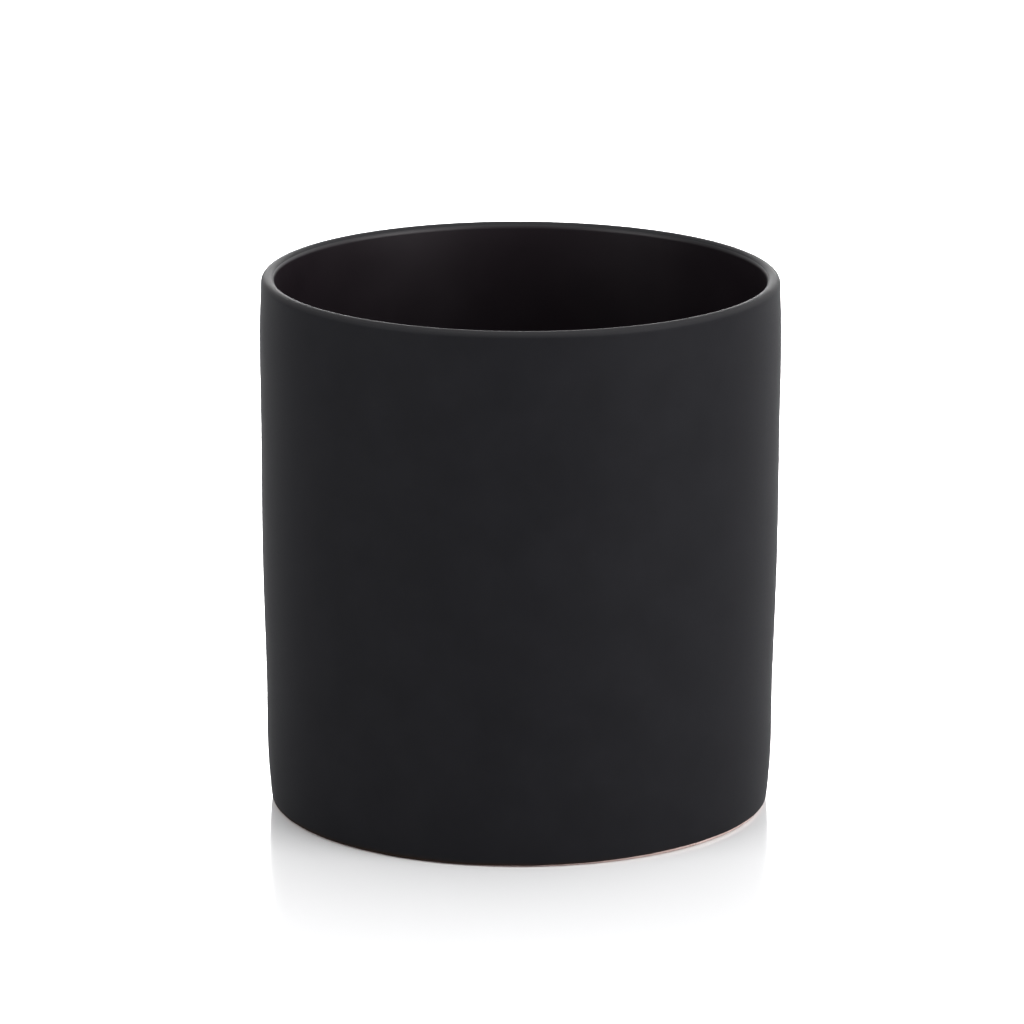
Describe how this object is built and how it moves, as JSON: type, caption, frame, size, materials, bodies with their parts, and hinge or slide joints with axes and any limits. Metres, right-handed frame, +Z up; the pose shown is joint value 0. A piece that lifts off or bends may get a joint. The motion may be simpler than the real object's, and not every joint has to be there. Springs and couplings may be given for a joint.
{
  "type": "candle jar",
  "caption": "Empty straight-sided ceramic candle jar with an open rounded mouth, matte black glaze and a bare clay foot ring.",
  "frame": {"origin": "centre of the foot ring's resting face, on the jar's axis", "axes": "+Z up along the jar's axis, out of the open mouth; the jar is round, so X and Y are free"},
  "size_m": [0.0886, 0.0886, 0.092],
  "materials": {
    "bare_clay": "matte",
    "matte_glaze": "matte",
    "liner_glaze": "satin"
  },
  "bodies": {
    "root": {"clay_body": "bare_clay", "outer_glaze": "matte_glaze", "inner_glaze": "liner_glaze", "base_glaze": "matte_glaze"}
  },
  "joints": []
}
